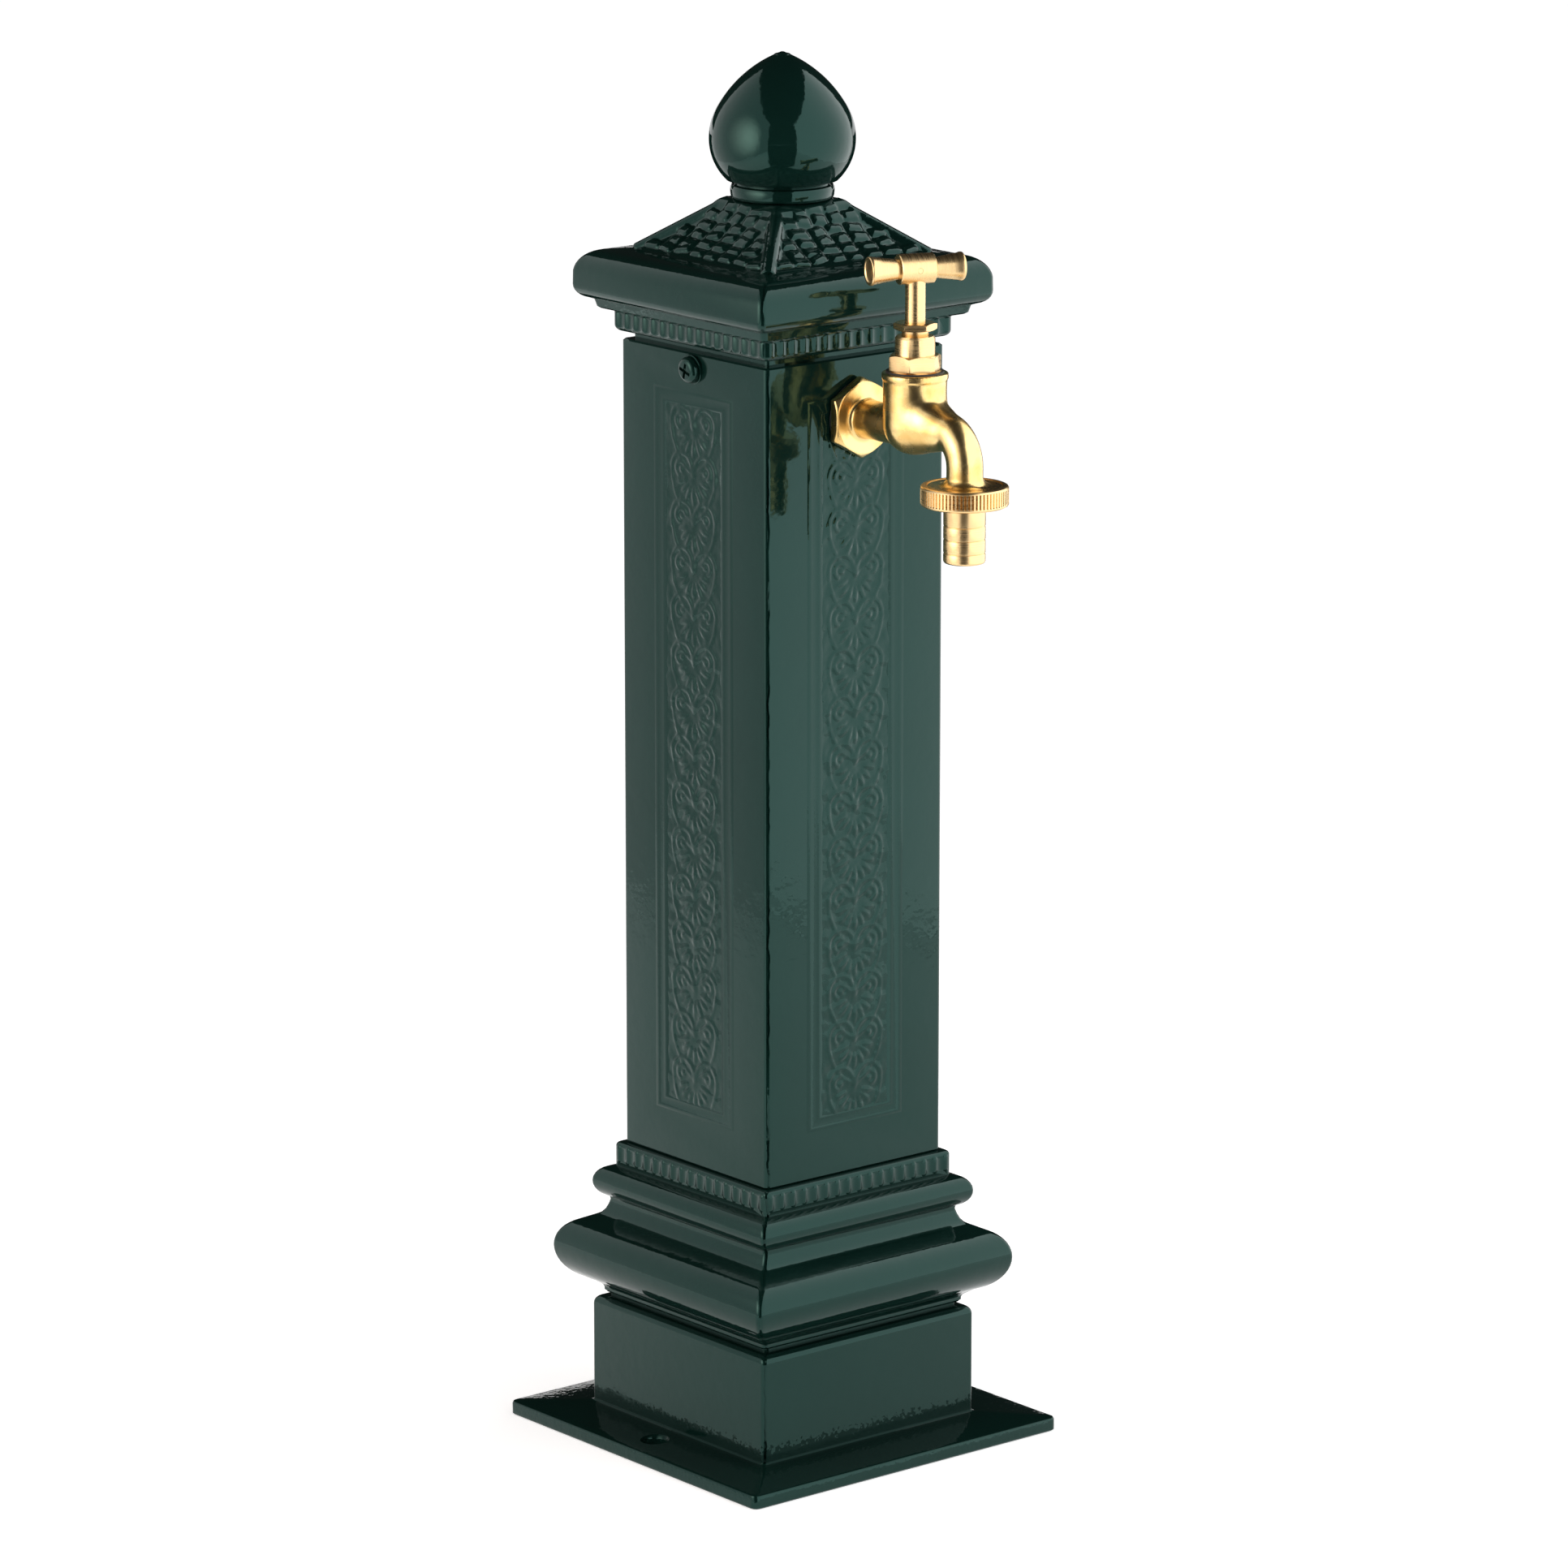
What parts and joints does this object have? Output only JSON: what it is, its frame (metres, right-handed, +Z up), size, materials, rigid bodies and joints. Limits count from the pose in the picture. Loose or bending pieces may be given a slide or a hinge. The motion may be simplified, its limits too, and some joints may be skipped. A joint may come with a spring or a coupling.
{
  "type": "garden standpipe",
  "caption": "Square cast standpipe on a foot plate, with panelled faces, pyramid cap, ball finial and a brass bib tap with T handle and hose union.",
  "frame": {"origin": "centre of the foot plate's underside, midway between the two fixing holes", "axes": "+Z up the column, the tap's spout points along -Y, the two cap screws and the two fixing holes lie along X"},
  "size_m": [0.14, 0.1825, 0.4965],
  "materials": {
    "green_paint": "gloss dark green paint over cast iron",
    "cast_brass": "cast and polished, lacquered",
    "turned_brass": "turned",
    "zinc_steel": "zinc plated",
    "copper_pipe": "drawn copper",
    "seal_rubber": "moulded rubber"
  },
  "bodies": {
    "root": {"base": "green_paint", "shaft": "green_paint", "shaft_bolts": "zinc_steel", "cap": "green_paint", "cap_screws": "green_paint", "cap_screw_washers": "green_paint", "finial": "green_paint", "finial_nut": "zinc_steel", "tap_body": "cast_brass", "wall_gasket": "seal_rubber", "back_nut": "turned_brass", "elbow": "cast_brass", "riser_nut": "turned_brass", "riser_olive": "turned_brass", "riser_pipe": "copper_pipe", "inlet_olive": "turned_brass", "inlet_nut": "turned_brass", "inlet_coupling": "turned_brass", "bonnet": "turned_brass", "bonnet_gasket": "seal_rubber", "gland_packing": "seal_rubber", "gland_nut": "turned_brass"},
    "valve": {"jumper": "turned_brass", "seat_washer": "seal_rubber", "washer_screw": "turned_brass"},
    "handle": {"spindle": "turned_brass", "t_handle": "turned_brass", "handle_pin": "turned_brass"},
    "tail": {"hose_tail": "turned_brass", "hose_washer": "seal_rubber"},
    "nut": {"union_nut": "turned_brass"}
  },
  "joints": [
    {"name": "valve_lift", "type": "slide", "parent": "root", "child": "valve", "axis": [0, 0, 1], "range_m": [0, 0.005]},
    {"name": "handle_turn", "type": "hinge", "parent": "valve", "child": "handle", "pos_m": [0, -0.0712, 0.4], "axis": [0, 0, 1], "range_deg": [0, 900.1]},
    {"name": "tail_drop", "type": "slide", "parent": "root", "child": "tail", "axis": [0, 0, -1], "range_m": [0, 0.00227]},
    {"name": "nut_turn", "type": "hinge", "parent": "tail", "child": "nut", "pos_m": [0, -0.0974, 0.355], "axis": [0, 0, -1], "range_deg": [0, 450.1]}
  ],
  "couplings": [
    {"joint": "handle_turn", "follows": "valve_lift", "rad_per_m": 3141.6},
    {"joint": "nut_turn", "follows": "tail_drop", "rad_per_m": 3463.7}
  ]
}
